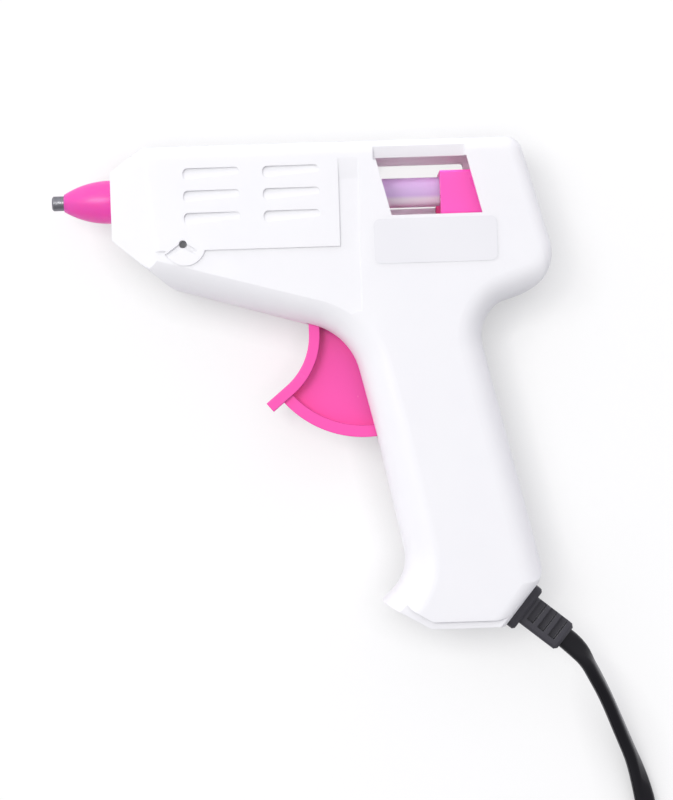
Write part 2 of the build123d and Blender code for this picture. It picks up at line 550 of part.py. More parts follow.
def nozzle_cover():
    """The rounded cover over the nozzle, with a flange behind the housing's front wall."""
    middle = (COVER_X + NOSE_X) / 2
    front = NOSE_X + WALL + COVER_CLEARANCE
    rear = front + COVER_FLANGE
    profile = Line((COVER_X, TIP_R + 0.05), (COVER_X, COVER_TIP_R))
    profile += ThreePointArc((COVER_X, COVER_TIP_R), (middle, COVER_MID_R), (NOSE_X, COVER_R))
    profile += Polyline(
        (NOSE_X, COVER_R), (front, COVER_R), (front, COVER_FLANGE_R), (rear, COVER_FLANGE_R),
        (rear, SHOULDER_R + COVER_CLEARANCE), (NOSE_X, SHOULDER_R + COVER_CLEARANCE),
        (COVER_X + 5.0, CONE_R + COVER_CLEARANCE), (COVER_X + 1.2, TIP_R + 0.05), (COVER_X, TIP_R + 0.05))
    return revolve(make_face(profile.edges()), Axis.X)


def melt_chamber():
    """The melting chamber: a turned body with a spigot, and the heater's tunnel cast on underneath."""
    bore_start = CHAMBER_X + THREAD_LENGTH + 3.6
    end = CHAMBER_REAR + SPIGOT
    body = turned((CHAMBER_X, 0), (CHAMBER_X, 4.6), (CHAMBER_X + THREAD_LENGTH, 4.6),
                  (CHAMBER_X + THREAD_LENGTH, CHAMBER_R), (CHAMBER_REAR, CHAMBER_R),
                  (CHAMBER_REAR, SPIGOT_R), (end, SPIGOT_R), (end, 0))
    half_width = TUNNEL_HALF_WIDTH + TUNNEL_WALL
    bottom = TUNNEL_TOP - TUNNEL_HEIGHT
    x0, x1 = HEATER_X, HEATER_X + HEATER_LENGTH
    body += block(x0, x1, bottom - TUNNEL_WALL, -CHAMBER_R / 2, -half_width, half_width)
    body -= block(x0 - 1, x1 + 1, bottom, TUNNEL_TOP, -TUNNEL_HALF_WIDTH, TUNNEL_HALF_WIDTH)
    hollow = turned((CHAMBER_X - 1, 0), (CHAMBER_X - 1, THREAD_R), (CHAMBER_X + THREAD_LENGTH, THREAD_R),
                    (bore_start, CHAMBER_BORE_R), (end + 1, CHAMBER_BORE_R), (end + 1, 0))
    return body - hollow


def heater_parts():
    """The heating element between its electrodes, wrapped in film and pressed up by a wedge."""
    x0, x1 = HEATER_X + 1, HEATER_X + HEATER_LENGTH - 1
    film_half = TUNNEL_HALF_WIDTH - 0.2
    film_bottom = TUNNEL_TOP - 2 * FILM - 2 * ELECTRODE - PTC_THICKNESS
    film = block(x0, x1, film_bottom, TUNNEL_TOP, -film_half, film_half)
    film -= block(x0 - 1, x1 + 1, film_bottom + FILM, TUNNEL_TOP - FILM, FILM - film_half, film_half - FILM)
    upper = TUNNEL_TOP - FILM
    lower = film_bottom + FILM + ELECTRODE
    plates = []
    for top, z in ((upper, TAB_Z), (lower, -TAB_Z)):
        plate = block(x0 + 1, x1, top - ELECTRODE, top, -ELECTRODE_HALF_WIDTH, ELECTRODE_HALF_WIDTH)
        tab = block(x1 - 1, x1 + TAB_LENGTH, top - ELECTRODE, top, z - TAB_HALF_WIDTH, z + TAB_HALF_WIDTH)
        plates.append(plate + tab)
    middle = (x0 + x1) / 2
    ptc = block(middle - PTC_LENGTH / 2, middle + PTC_LENGTH / 2, lower, upper - ELECTRODE,
                -PTC_HALF_WIDTH, PTC_HALF_WIDTH)
    bottom = TUNNEL_TOP - TUNNEL_HEIGHT
    wedge = Pos(0, 0, -film_half) * extrude(make_face(Polyline(
        (x0 - 0.5, bottom), (x1 + 0.5, bottom), (x1 + 0.5, film_bottom), (x0 - 0.5, film_bottom),
        close=True)), amount=2 * film_half, dir=(0, 0, 1))
    wedge -= block(middle - 4, middle + 4, bottom - 1, bottom + 0.5, -film_half, film_half)
    return film, Compound(children=plates), ptc, wedge


def inlet_sleeve():
    """The silicone sleeve that leads the stick from its guide into the chamber."""
    step = CHAMBER_REAR + SPIGOT
    return turned((CHAMBER_REAR, SPIGOT_R), (CHAMBER_REAR, SLEEVE_R), (SLEEVE_REAR - 0.8, SLEEVE_R),
                  (SLEEVE_REAR, SLEEVE_R - 0.8), (SLEEVE_REAR, CHAMBER_BORE_R + 0.5),
                  (SLEEVE_REAR - 1, CHAMBER_BORE_R), (step, CHAMBER_BORE_R), (step, SPIGOT_R))


def sleeve_clamp():
    """The ring that holds the sleeve on the chamber's spigot."""
    x0, x1 = CLAMP_RING_X, CLAMP_RING_X + CLAMP_RING_LENGTH
    ring = rod(x0, x1, SLEEVE_R + CLAMP_RING) - rod(x0 - 1, x1 + 1, SLEEVE_R)
    return ring - block(x0 - 1, x1 + 1, SLEEVE_R / 2, SLEEVE_R * 2, -0.6, 0.6)


def glue_stick():
    """The stick, its front end rounded by melting."""
    return turned((STICK_FRONT, 0), (STICK_FRONT + 0.4, STICK_R * 0.6), (STICK_FRONT + 2, STICK_R),
                  (STICK_REAR - 0.3, STICK_R), (STICK_REAR, STICK_R - 0.3), (STICK_REAR, 0))


# --------------------------------------------------------------------------- feed
def knob_at_rest():
    """Where the trigger's knob is when the trigger is out: half the stroke behind the pivot."""
    return PIVOT_X + STROKE / 2, PIVOT_Y + math.sqrt(ARM_R ** 2 - (STROKE / 2) ** 2)


def feed_carriage():
    """The carriage: a block round the stick, and a keel that runs between the ledges and takes the knob."""
    x0, x1 = CARRIAGE_X, CARRIAGE_X + CARRIAGE_LENGTH
    head = block(x0, x1, CARRIAGE_BOTTOM, CARRIAGE_TOP, -CARRIAGE_HALF_WIDTH, CARRIAGE_HALF_WIDTH)
    head = fillet(head.edges().filter_by(Axis.X), 0.6)
    body = head + block(x0, x1, KEEL_BOTTOM, CARRIAGE_BOTTOM, -KEEL_HALF_WIDTH, KEEL_HALF_WIDTH)
    keel = block(KEEL_FRONT, x1, KEEL_BOTTOM, KEEL_TOP, -KEEL_HALF_WIDTH, KEEL_HALF_WIDTH)
    body += fillet(keel.edges().filter_by(Axis.Z), 0.7)
    foot_top = CARRIAGE_BOTTOM - LEDGE - 2 * SLIDE_CLEARANCE
    body += block(x0, x1, foot_top - FOOT, foot_top, -FOOT_HALF_WIDTH, FOOT_HALF_WIDTH)
    knob_x, knob_y = knob_at_rest()
    half = KNOB_R + KNOB_CLEARANCE
    top = PIVOT_Y + ARM_R + 0.25
    body -= block(knob_x - half, knob_x + half, KEEL_BOTTOM - 1, top, -FAR, FAR)
    body -= post(knob_x, top, -FAR, FAR, half)
    body -= rod(x0 - 1, x1 + 1, STICK_R + STICK_CLEARANCE)
    pocket = JAW_HALF_WIDTH + JAW_CLEARANCE
    return body - block(x0 - 1, JAW_FRONT + JAW_LENGTH + 2 * JAW_CLEARANCE, CARRIAGE_BOTTOM + JAW_FLOOR,
                        -STICK_R, -pocket, pocket)


def grip_jaw():
    """The rubbery jaw in the carriage's pocket, toothed against the stick."""
    x0, x1, bottom = JAW_FRONT, JAW_FRONT + JAW_LENGTH, CARRIAGE_BOTTOM + JAW_FLOOR
    jaw = block(x0, x1, bottom, -STICK_R - JAW_CLEARANCE, -JAW_HALF_WIDTH, JAW_HALF_WIDTH)
    first = (x0 + x1 - (JAW_TEETH - 1) * JAW_PITCH) / 2
    for i in range(JAW_TEETH):
        notch = Rot(0, 0, 45) * Box(TOOTH, TOOTH, 3 * JAW_HALF_WIDTH)
        jaw -= Pos(first + i * JAW_PITCH, -STICK_R, 0) * notch
    return jaw - rod(x0 - 1, x1 + 1, STICK_R + JAW_CLEARANCE)


def band_profile(thickness):
    """Front or back line of the finger band, from inside the housing down to its lower end."""
    radius = BAND_R + thickness
    centre_x = BAND_X - BAND_R
    bend_y = PIVOT_Y + BAND_ABOVE - BAND_STRAIGHT
    angle = math.radians(90 - BAND_SLOPE)
    end = (centre_x + radius * math.cos(angle), bend_y - radius * math.sin(angle))
    low = (end[0] - BAND_LOW_LENGTH * math.sin(angle), end[1] - BAND_LOW_LENGTH * math.cos(angle))
    middle = (centre_x + radius * math.cos(angle / 2), bend_y - radius * math.sin(angle / 2))
    return [(centre_x + radius, PIVOT_Y + BAND_ABOVE), (centre_x + radius, bend_y)], middle, end, low


def finger_band():
    """The finger band: straight, bent, then straight, with a hidden skirt that closes the housing's slot."""
    (f0, f1), f_mid, f_end, f_low = band_profile(0)
    (b0, b1), b_mid, b_end, b_low = band_profile(BAND)
    outline = Line(f0, f1) + ThreePointArc(f1, f_mid, f_end) + Line(f_end, f_low) + Line(f_low, b_low)
    outline += Line(b_low, b_end) + ThreePointArc(b_end, b_mid, b1) + Line(b1, b0) + Line(b0, f0)
    band = extrude(make_face(outline.edges()), amount=BAND_HALF_WIDTH, both=True)
    reach = PIVOT_X - BAND_X
    skirt = post(PIVOT_X, PIVOT_Y, -BAND_HALF_WIDTH, BAND_HALF_WIDTH, reach)
    skirt -= post(PIVOT_X, PIVOT_Y, -FAR, FAR, reach - BAND)
    start = 180 - math.degrees(math.atan2(BAND_ABOVE, reach)) + 1.5
    skirt &= prism([(PIVOT_X, PIVOT_Y), polar(3 * reach, start), polar(3 * reach, SKIRT_END)],
                   -BAND_HALF_WIDTH, BAND_HALF_WIDTH)
    return band + skirt


def fan():
    """The fan behind the finger band: a thin web with a thick rim that runs into the grip."""
    (_, b1), b_mid, b_end, b_low = band_profile(BAND * 0.6)
    front = [(b1[0], PIVOT_Y + BAND_ABOVE), b1, b_mid, b_end, b_low, (b_low[0], PIVOT_Y - 2 * FAN_R)]
    sector = prism([(PIVOT_X, PIVOT_Y), *front, polar(2 * FAN_R, FAN_END)], -RIM_HALF_WIDTH, RIM_HALF_WIDTH)
    disc = sector & post(PIVOT_X, PIVOT_Y, -RIM_HALF_WIDTH, RIM_HALF_WIDTH, FAN_R)
    pocket = post(PIVOT_X, PIVOT_Y, WEB_HALF, FAR, FAN_R - RIM)
    return disc - pocket - mirror(pocket, Plane.XY)


def trigger():
    """The trigger: finger band, fan, hub on the pivot, and the arm whose knob drives the carriage."""
    knob_x, knob_y = knob_at_rest()
    body = finger_band() + fan() + post(PIVOT_X, PIVOT_Y, -HUB_HALF_LENGTH, HUB_HALF_LENGTH, HUB_R)
    lean = math.degrees(math.atan2(knob_x - PIVOT_X, knob_y - PIVOT_Y))
    root = HUB_R - 0.3
    arm = prism([(-root, 0), (root, 0), (ARM_TIP, ARM_R), (-ARM_TIP, ARM_R)], -WEB_HALF, WEB_HALF)
    body += Pos(PIVOT_X, PIVOT_Y, 0) * Rot(0, 0, -lean) * arm
    body += post(knob_x, knob_y, -KNOB_HALF_WIDTH, KNOB_HALF_WIDTH, KNOB_R)
    peg_x, peg_y = spring_peg()
    body += post(peg_x, peg_y, 0, PEG_END, PEG_R)
    return body - post(PIVOT_X, PIVOT_Y, -FAR, FAR, PIVOT_R + PIVOT_CLEARANCE)


def spring_peg():
    """Where the return spring hooks on the arm."""
    knob_x, knob_y = knob_at_rest()
    share = PEG_ARM / ARM_R
    return PIVOT_X + (knob_x - PIVOT_X) * share, PIVOT_Y + (knob_y - PIVOT_Y) * share


def spring_hook(tip, direction, eye, at, away):
    """The wire from one end of the coil to an open eye round a peg that stands along local x."""
    side = (0, -eye, at)
    wire = Spline(tip, side, tangents=[direction, (0, 0, away)])
    wire += ThreePointArc(side, (0, 0, at + away * eye), (0, eye, at))
    return_y, return_z = eye * math.cos(math.radians(70)), at - away * eye * math.sin(math.radians(70))
    half_y, half_z = eye * math.cos(math.radians(35)), at - away * eye * math.sin(math.radians(35))
    wire += ThreePointArc((0, eye, at), (0, half_y, half_z), (0, return_y, return_z))
    return sweep(Plane(tip, z_dir=direction) * Circle(SPRING_WIRE_R), path=wire)


def return_spring():
    """The tension spring from the trigger's arm to a post in the left half, with an eye at each end."""
    (x0, y0), (x1, y1) = spring_peg(), (SPRING_POST_X, SPRING_POST_Y)
    length = math.hypot(x1 - x0, y1 - y0)
    peg_eye = PEG_R + SPRING_WIRE_R + SPRING_EYE_CLEARANCE
    post_eye = SPRING_POST_R + SPRING_WIRE_R + SPRING_EYE_CLEARANCE
    start, end = peg_eye + SPRING_LEAD, length - post_eye - SPRING_LEAD
    turns = round((end - start) / SPRING_PITCH)
    helix = Pos(0, 0, start) * Helix((end - start) / turns, end - start, SPRING_R)
    spring = sweep(Plane(helix @ 0, z_dir=helix % 0) * Circle(SPRING_WIRE_R), path=helix, is_frenet=True)
    spring += spring_hook(helix @ 0, helix % 0 * -1, peg_eye, 0, -1)
    spring += spring_hook(helix @ 1, helix % 1, post_eye, length, 1)
    return Plane((x0, y0, SPRING_Z), x_dir=(0, 0, 1), z_dir=(x1 - x0, y1 - y0, 0)) * spring


# --------------------------------------------------------------------------- screws and cord entry
def cross_head(radius, height, shank_r, length):
    """A screw pointing along -z with its head's seat at z = 0."""
    head = Cylinder(radius, height, align=(Align.CENTER, Align.CENTER, Align.MIN))
    head = chamfer(head.faces().sort_by(Axis.Z)[-1].edges(), height * 0.35)
    slot = radius * 0.24
    recess = Pos(0, 0, height) * (Box(radius, slot, height) + Box(slot, radius, height))
    return head - recess + Cylinder(shank_r, length, align=(Align.CENTER, Align.CENTER, Align.MAX))


def housing_screws():
    """The screws that hold the halves together, driven from the right side."""
    screw = cross_head(SCREW_HEAD_R, SCREW_HEAD, SCREW_R, SCREW_LENGTH)
    return Compound(children=[Pos(x, y, -HEAD_SEAT_Z) * Rot(180, 0, 0) * screw for x, y in SCREW_XY])


def rating_label():
    """The bare label on the left side."""
    middle = Pos(LABEL_X + LABEL_LENGTH / 2, LABEL_TOP - LABEL_HEIGHT / 2, HALF_WIDTH)
    outline = RectangleRounded(LABEL_LENGTH, LABEL_HEIGHT, LABEL_CORNER_R)
    return middle * extrude(outline, amount=LABEL_THICKNESS)


def cord_section():
    """The flat cord's section, wide along local x."""
    return RectangleRounded(CORD_WIDTH, CORD_THICKNESS, CORD_THICKNESS / 2 - 0.01)


def cord_tail():
    """The jacketed end of the cord inside the strain relief and the grip."""
    end = RELIEF_FLANGE + RELIEF_SLEEVE
    return relief_plane() * Pos(0, 0, -TAIL) * extrude(cord_section(), amount=TAIL + end)


def strain_relief():
    """The strain relief: inner flange, neck, outer flange, and a sleeve with recesses that let it bend."""
    def slab(length, width, z0, z1):
        return Pos(0, 0, (z0 + z1) / 2) * Box(length, width, z1 - z0)

    end, seat = RELIEF_FLANGE + RELIEF_SLEEVE, -WALL - RELIEF_PLAY
    sleeve = slab(RELIEF_SLEEVE_HEIGHT, RELIEF_SLEEVE_WIDTH, RELIEF_FLANGE / 2, end)
    sleeve = fillet(sleeve.edges().filter_by(Axis.Z), RELIEF_SLEEVE_CORNER)
    sleeve = chamfer(sleeve.faces().sort_by(Axis.Z)[-1].edges(), RELIEF_SLEEVE_CORNER * 0.8)
    flange = slab(RELIEF_FLANGE_LENGTH, RELIEF_FLANGE_WIDTH, 0, RELIEF_FLANGE)
    flange = fillet(flange.edges().filter_by(Axis.Z), RELIEF_FLANGE_CORNER)
    relief = sleeve + chamfer(flange.faces().sort_by(Axis.Z)[-1].edges(), RELIEF_FLANGE_CORNER * 0.4)
    inner = RELIEF_NECK_LENGTH + RELIEF_INNER
    relief += slab(RELIEF_NECK_LENGTH, RELIEF_NECK_WIDTH, seat, 0)
    relief += slab(inner, inner, seat - RELIEF_INNER, seat)
    pitch = RELIEF_RECESS + RELIEF_RIB
    first = RELIEF_FLANGE + RELIEF_RECESS_START + RELIEF_RECESS / 2
    recess = Box(RELIEF_SLEEVE_HEIGHT, 2 * RELIEF_RECESS_DEPTH, RELIEF_RECESS)
    for i in range(3):
        for side in (-1, 1):
            relief -= Pos(-RELIEF_SPINE, side * RELIEF_SLEEVE_WIDTH / 2, first + i * pitch) * recess
    passage = Pos(0, 0, -TAIL) * extrude(cord_section(), amount=TAIL + end + 1)
    return relief_plane() * (relief - passage)


def cord_clamp():
    """The bar over the cord tail, with feet on the clamp's bosses."""
    bar = Pos(0, -CLAMP_TOP / 2, 0) * Box(2 * CLAMP_HALF_LENGTH, CLAMP_TOP, 2 * CLAMP_HALF_WIDTH)
    bar = fillet(bar.edges().filter_by(Axis.Y), CLAMP_CORNER_R)
    bar -= Box(CORD_WIDTH, CORD_THICKNESS, 4 * CLAMP_HALF_WIDTH)
    for side in (-1, 1):
        passage = Rot(90, 0, 0) * Cylinder(CLAMP_SCREW_R + CLAMP_PASSAGE, 4 * CLAMP_TOP)
        bar -= Pos(side * CLAMP_SCREW_AT, 0, 0) * passage
    return relief_plane() * Pos(0, 0, -CLAMP_AT) * bar


def clamp_screws():
    """The two screws of the cord clamp, driven from the left."""
    screw = cross_head(CLAMP_SCREW_HEAD_R, CLAMP_SCREW_HEAD, CLAMP_SCREW_R, CLAMP_SCREW_LENGTH)
    screws = []
    for side in (-1, 1):
        at = relief_plane() * Pos(side * CLAMP_SCREW_AT, 0, -CLAMP_AT)
        screws.append(Pos(at.position.X, at.position.Y, CLAMP_TOP) * screw)
    return Compound(children=screws)


def soft_tube(points, radius):
    """A tube along straight runs joined by tangent arcs."""
    bends = []
    for a, b, c in zip(points, points[1:], points[2:]):
        before, after = Vector(*b) - Vector(*a), Vector(*c) - Vector(*b)
        half_turn = math.radians(before.get_angle(after)) / 2
        bends.append(0.45 * min(before.length, after.length) / math.tan(half_turn))
    path = FilletPolyline(*points, radius=bends)
    return sweep(Plane(path @ 0, z_dir=path % 0) * Circle(radius), path=path)


def electrode_tab(side):
    """Where a wire meets its electrode: the tab's rear end."""
    height = ELECTRODE / 2 + FILM
    y = TUNNEL_TOP - height if side > 0 else TUNNEL_TOP - height - ELECTRODE - PTC_THICKNESS
    return HEATER_X + HEATER_LENGTH - 1 + TAB_LENGTH, y, side * TAB_Z


def supply_wire(side):
    """One wire from the cord's tail up the grip and forward to the heater, on one side of the trigger."""
    x, y, z = electrode_tab(side)
    route = [(x, y, z), (x + CRIMP_LENGTH, y, z)]
    route += [(px, py, side * pz) for px, py, pz in WIRE_ROUTE]
    last = relief_plane() * Pos(side * WIRE_AT_TAIL, 0, -TAIL)
    route += [(last.position.X - 2.6, last.position.Y + 2.1, 0.0), tuple(last.position)]
    return soft_tube(route, WIRE_R)


def crimp_sleeves():
    """The crimps that join the wires to the electrodes' tabs."""
    sleeves = []
    for side in (1, -1):
        x, y, z = electrode_tab(side)
        sleeve = rod(x - CRIMP_LENGTH / 2, x + CRIMP_LENGTH / 2, CRIMP_R, y, z)
        sleeve -= rod(x, x + CRIMP_LENGTH, WIRE_R, y, z)
        sleeves.append(sleeve - block(x - CRIMP_LENGTH, x, y - ELECTRODE / 2, y + ELECTRODE / 2,
                                      z - TAB_HALF_WIDTH, z + TAB_HALF_WIDTH))
    return Compound(children=sleeves)


# --------------------------------------------------------------------------- free cord, coil and plug
def cord_exit(beyond=0.0):
    """The end of the strain relief's sleeve, or a point straight beyond it."""
    return tuple((relief_plane() * Pos(0, 0, RELIEF_FLANGE + RELIEF_SLEEVE + beyond)).position)


def coil_centre():
    """The coil's middle, beside the route's last run, which joins its outermost turn."""
    (x0, y0, _), (x1, y1, _) = CORD_ROUTE[-2:]
    length = math.hypot(x1 - x0, y1 - y0)
    return x1 + (y1 - y0) / length * COIL_OUTER_TURN, y1 - (x1 - x0) / length * COIL_OUTER_TURN


def cord_coil():
    """The outer form of the put-away length, wound flat on the table."""
    x, y = coil_centre()
    section = Rectangle(COIL_WIDTH, COIL_HEIGHT)
    section = Pos(COIL_R, COIL_HEIGHT / 2) * chamfer(section.vertices(), CORD_THICKNESS / 3)
    return Pos(x, y, -HALF_WIDTH) * revolve(Plane.XZ * section, Axis.Z)


def power_cord():
    """The cord from the strain relief into the coil's outermost turn."""
    return soft_tube([cord_exit(), cord_exit(STRAIGHT_OUT), *CORD_ROUTE], CORD_R)


def plug_place():
    """The plug's cord end, on the line that leaves the coil's outermost turn: z forward, x across."""
    x, y = coil_centre()
    return Plane((x - PLUG_AWAY, y - COIL_OUTER_TURN, PLUG_THICKNESS / 2 - HALF_WIDTH), x_dir=(0, 1, 0),
                 z_dir=(-1, 0, 0))


def plug_body(coil):
    """A flat two-pin plug with waisted sides and a tapered strain relief."""
    start, end = PLUG_RELIEF, PLUG_RELIEF + PLUG_LENGTH
    head, grip = end - PLUG_HEAD, start + PLUG_LENGTH * 0.42
    half, neck, edge = PLUG_WIDTH / 2, PLUG_NECK / 2, PLUG_THICKNESS / 2
    waist = Spline((neck, start), (neck + PLUG_FLARE, grip), (half, head), tangents=[(0.2, 1), (0.6, 1)])
    outline = waist + Polyline((half, head), (half, end), (-half, end), (-half, head))
    outline += mirror(waist, Plane.YZ) + Line((-neck, start), (neck, start))
    body = Rot(90, 0, 0) * extrude(make_face(outline.edges()), amount=edge, both=True)
    front = [(half, edge * 0.3), (half * 0.72, edge), (-half * 0.72, edge), (-half, edge * 0.3)]
    front += [(x, -y) for x, y in reversed(front)]
    body &= extrude(make_face(Polyline(*front, close=True)), amount=end)
    taper, low = start + PLUG_TAPER, neck * 0.75
    slope = Polyline((-edge, end), (edge, end), (edge, taper), (low, start), (-low, start), (-edge, taper),
                     close=True)
    body &= extrude(Plane.YZ * make_face(slope), amount=half, both=True)
    relief = Cone(CORD_R + PLUG_RELIEF_WALL, PLUG_RELIEF_R, PLUG_RELIEF + 0.5,
                  align=(Align.CENTER, Align.CENTER, Align.MIN))
    return plug_place() * (body + relief) - coil


def plug_pins():
    """The plug's two pins, sleeved for half their length."""
    start = PLUG_RELIEF + PLUG_LENGTH
    pins = []
    for side in (-1, 1):
        pin = Pos(side * PIN_SPACING / 2, 0, start + PIN_LENGTH / 2) * Cylinder(PIN_R, PIN_LENGTH)
        pin -= Pos(side * PIN_SPACING / 2, 0, start + PIN_COLLAR / 2) * (
            Cylinder(PIN_R + 1, PIN_COLLAR) - Cylinder(PIN_COLLAR_R, PIN_COLLAR))
        tip = pin.faces().sort_by(Axis.Z)[-1].edges()
        pins.append(plug_place() * fillet(tip, PIN_R * 0.6))
    return Compound(children=pins)


# --------------------------------------------------------------------------- assembly
CORD_NODES = ("power_cord", "cord_coil", "plug_body", "plug_pins")


def assembly():
    """Every sub-part by name, in the gun frame."""
    outer, hollow = outer_form(), hollow_form()
    film, electrodes, heater, wedge = heater_parts()
    coil = cord_coil()
    return {
        "left_housing": housing_half(outer, hollow, False),
        "right_housing": mirror(housing_half(outer, hollow, True), Plane.XY),
        "rating_label": rating_label(),
        "housing_screws": housing_screws(),
        "nozzle_tip": nozzle_tip(),
        "nozzle_cover": nozzle_cover(),
        "melt_chamber": melt_chamber(),
        "ptc_heater": heater,
        "heater_electrodes": electrodes,
        "insulation_film": film,
        "heater_wedge": wedge,
        "inlet_sleeve": inlet_sleeve(),
        "sleeve_clamp": sleeve_clamp(),
        "glue_stick": glue_stick(),
        "feed_carriage": feed_carriage(),
        "grip_jaw": grip_jaw(),
        "trigger": trigger(),
        "return_spring": return_spring(),
        "live_wire": supply_wire(1),
        "neutral_wire": supply_wire(-1),
        "crimp_sleeves": crimp_sleeves(),
        "cord_tail": cord_tail(),
        "cord_clamp": cord_clamp(),
        "clamp_screws": clamp_screws(),
        "strain_relief": strain_relief(),
        "power_cord": power_cord(),
        "cord_coil": coil,
        "plug_body": plug_body(coil),
        "plug_pins": plug_pins(),
    }


def main():
    """Put the origin at the middle of the gun's underside and write one file for each sub-part."""
    parts = assembly()
    gun = parts["left_housing"].bounding_box()
    for name in parts:
        if name not in CORD_NODES:
            gun = gun.add(parts[name].bounding_box())
    to_base = Pos(-gun.center().X, -gun.center().Y, -gun.min.Z)
    os.makedirs("parts", exist_ok=True)
    for name, part in parts.items():
        export_step(to_base * part, f"parts/{name}.step")


if __name__ == "__main__":
    main()
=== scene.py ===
"""Looks of a small hot glue gun that lies on its right side, seen from above.

The scene is in metres. Named sizes and places are in millimetres, unless a comment says otherwise, and
places are in the gun's own frame: x runs from the nose to the rear along the barrel's axis, y up through the
barrel, z out of the left side, and z = 0 is the seam between the halves. place() puts such a point into the
scene.
"""
import math

import bmesh
import bpy
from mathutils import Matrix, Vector


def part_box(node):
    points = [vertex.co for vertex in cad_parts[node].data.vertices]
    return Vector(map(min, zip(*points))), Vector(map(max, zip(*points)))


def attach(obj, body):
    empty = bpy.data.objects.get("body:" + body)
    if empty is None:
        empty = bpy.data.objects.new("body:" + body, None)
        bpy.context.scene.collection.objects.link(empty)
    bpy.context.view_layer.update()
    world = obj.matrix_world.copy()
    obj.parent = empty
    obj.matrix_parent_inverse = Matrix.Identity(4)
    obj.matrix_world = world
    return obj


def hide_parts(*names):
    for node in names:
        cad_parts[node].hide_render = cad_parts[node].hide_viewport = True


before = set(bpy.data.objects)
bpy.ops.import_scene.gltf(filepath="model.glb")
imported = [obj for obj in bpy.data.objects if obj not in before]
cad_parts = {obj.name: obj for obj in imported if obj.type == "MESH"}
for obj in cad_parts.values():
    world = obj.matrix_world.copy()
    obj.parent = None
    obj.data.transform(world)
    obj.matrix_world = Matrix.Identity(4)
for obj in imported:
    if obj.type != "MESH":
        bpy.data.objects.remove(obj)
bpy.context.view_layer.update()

MM = 0.001
NOSE_X, BARREL_TOP, HALF_WIDTH = 0.5, 12.1, 13.0
SHELL_LOW, SHELL_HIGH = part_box("left_housing")
GUN = Vector((SHELL_LOW[0] - NOSE_X * MM, SHELL_HIGH[1] - BARREL_TOP * MM, SHELL_LOW[2]))


def place(x, y, z=0.0):
    """A point of the gun frame, given in millimetres, in the scene."""
    return GUN + Vector((x, y, z)) * MM


def ease(share):
    """A share from 0 to 1 that starts and ends gently."""
    return share * share * (3 - 2 * share)


# --------------------------------------------------------------------------- camera
CAMERA_HEIGHT = 650.0            # above the seam
VIEW_WIDTH = 164.3               # seen across the picture at the seam
CAMERA_X, CAMERA_Y = 53.5, -50.0
GUN_TURN = 1.8                   # the gun is turned this far anticlockwise in the picture, in degrees
SENSOR_WIDTH = 36.0
CLIP_NEAR, CLIP_FAR = 0.01, 20.0             # metres


def make_camera():
    """The photograph's camera, straight above the gun."""
    data = bpy.data.cameras.new("camera")
    data.sensor_fit = "HORIZONTAL"
    data.sensor_width = SENSOR_WIDTH
    data.lens = SENSOR_WIDTH * CAMERA_HEIGHT / VIEW_WIDTH
    data.clip_start, data.clip_end = CLIP_NEAR, CLIP_FAR
    camera = bpy.data.objects.new("camera", data)
    bpy.context.scene.collection.objects.link(camera)
    camera.location = place(CAMERA_X, CAMERA_Y, CAMERA_HEIGHT)
    camera.rotation_euler = (0.0, 0.0, math.radians(-GUN_TURN))
    bpy.context.scene.camera = camera


make_camera()

# --------------------------------------------------------------------------- cord
CORD_WIDTH, CORD_THICKNESS = 5.2, 3.2
CORD_R = math.sqrt(CORD_WIDTH * CORD_THICKNESS) / 2      # of the round cord that the solids have
LIE = CORD_R - HALF_WIDTH        # height of its axis where it lies on the table
CORD_EXIT = (107.215, -109.535, 0.0)
INSIDE_RELIEF = 1.8              # length of cord in the mouth of the strain relief
CORD_ROUTE = [
    (111.0, -112.7, 0.0), (114.0, -118.2, -1.0), (117.4, -124.9, -4.0), (121.1, -134.0, -7.6),
    (125.0, -143.5, -10.0), (127.6, -154.5, LIE), (128.3, -167.0, LIE), (129.2, -180.0, LIE),
    (129.6, -193.0, LIE),
]
# how far the flat cord has turned onto its edge: (distance from the strain relief, degrees)
TWIST = [(0, 0), (1.5, 8), (10, 74), (20, 80), (34, 76), (52, 15), (64, 0)]
EDGE_ARC, EDGE_POINTS = 168, 10              # of each rounded edge of the flat section: degrees and points
LINE_ORDER, LINE_STEPS = 3, 5                # of the spline: its order, and its steps between two points

COIL_R, COIL_GAP, COIL_TURNS, POINTS_PER_TURN = 28.0, 0.1, 5, 18
COLUMN, LAYER = CORD_WIDTH + COIL_GAP, CORD_THICKNESS + COIL_GAP
TURN_PLACES = [(1, 0), (0, 0), (-1, 0), (-1, 1), (0, 1), (1, 1)]     # (column from the middle, layer)
CHANGE_FROM = 0.75               # the share of a turn after which the cord crosses to the next place
PLUG_THICKNESS = 13.7
PLUG_MIDDLE_Z = PLUG_THICKNESS / 2 - HALF_WIDTH
PLUG_AWAY, IN_PLUG = 14.0, 3.0   # from the coil's middle to the plug, and the cord's end in it
RISE_AWAY, RISE_Z = 7.0, -7.4    # where the cord rises to the plug


def coil_centre():
    """The coil's middle, beside the route's last run."""
    (x0, y0, _), (x1, y1, _) = CORD_ROUTE[-2:]
    length = math.hypot(x1 - x0, y1 - y0)
    outer = COIL_R + COLUMN
    return x1 + (y1 - y0) / length * outer, y1 - (x1 - x0) / length * outer


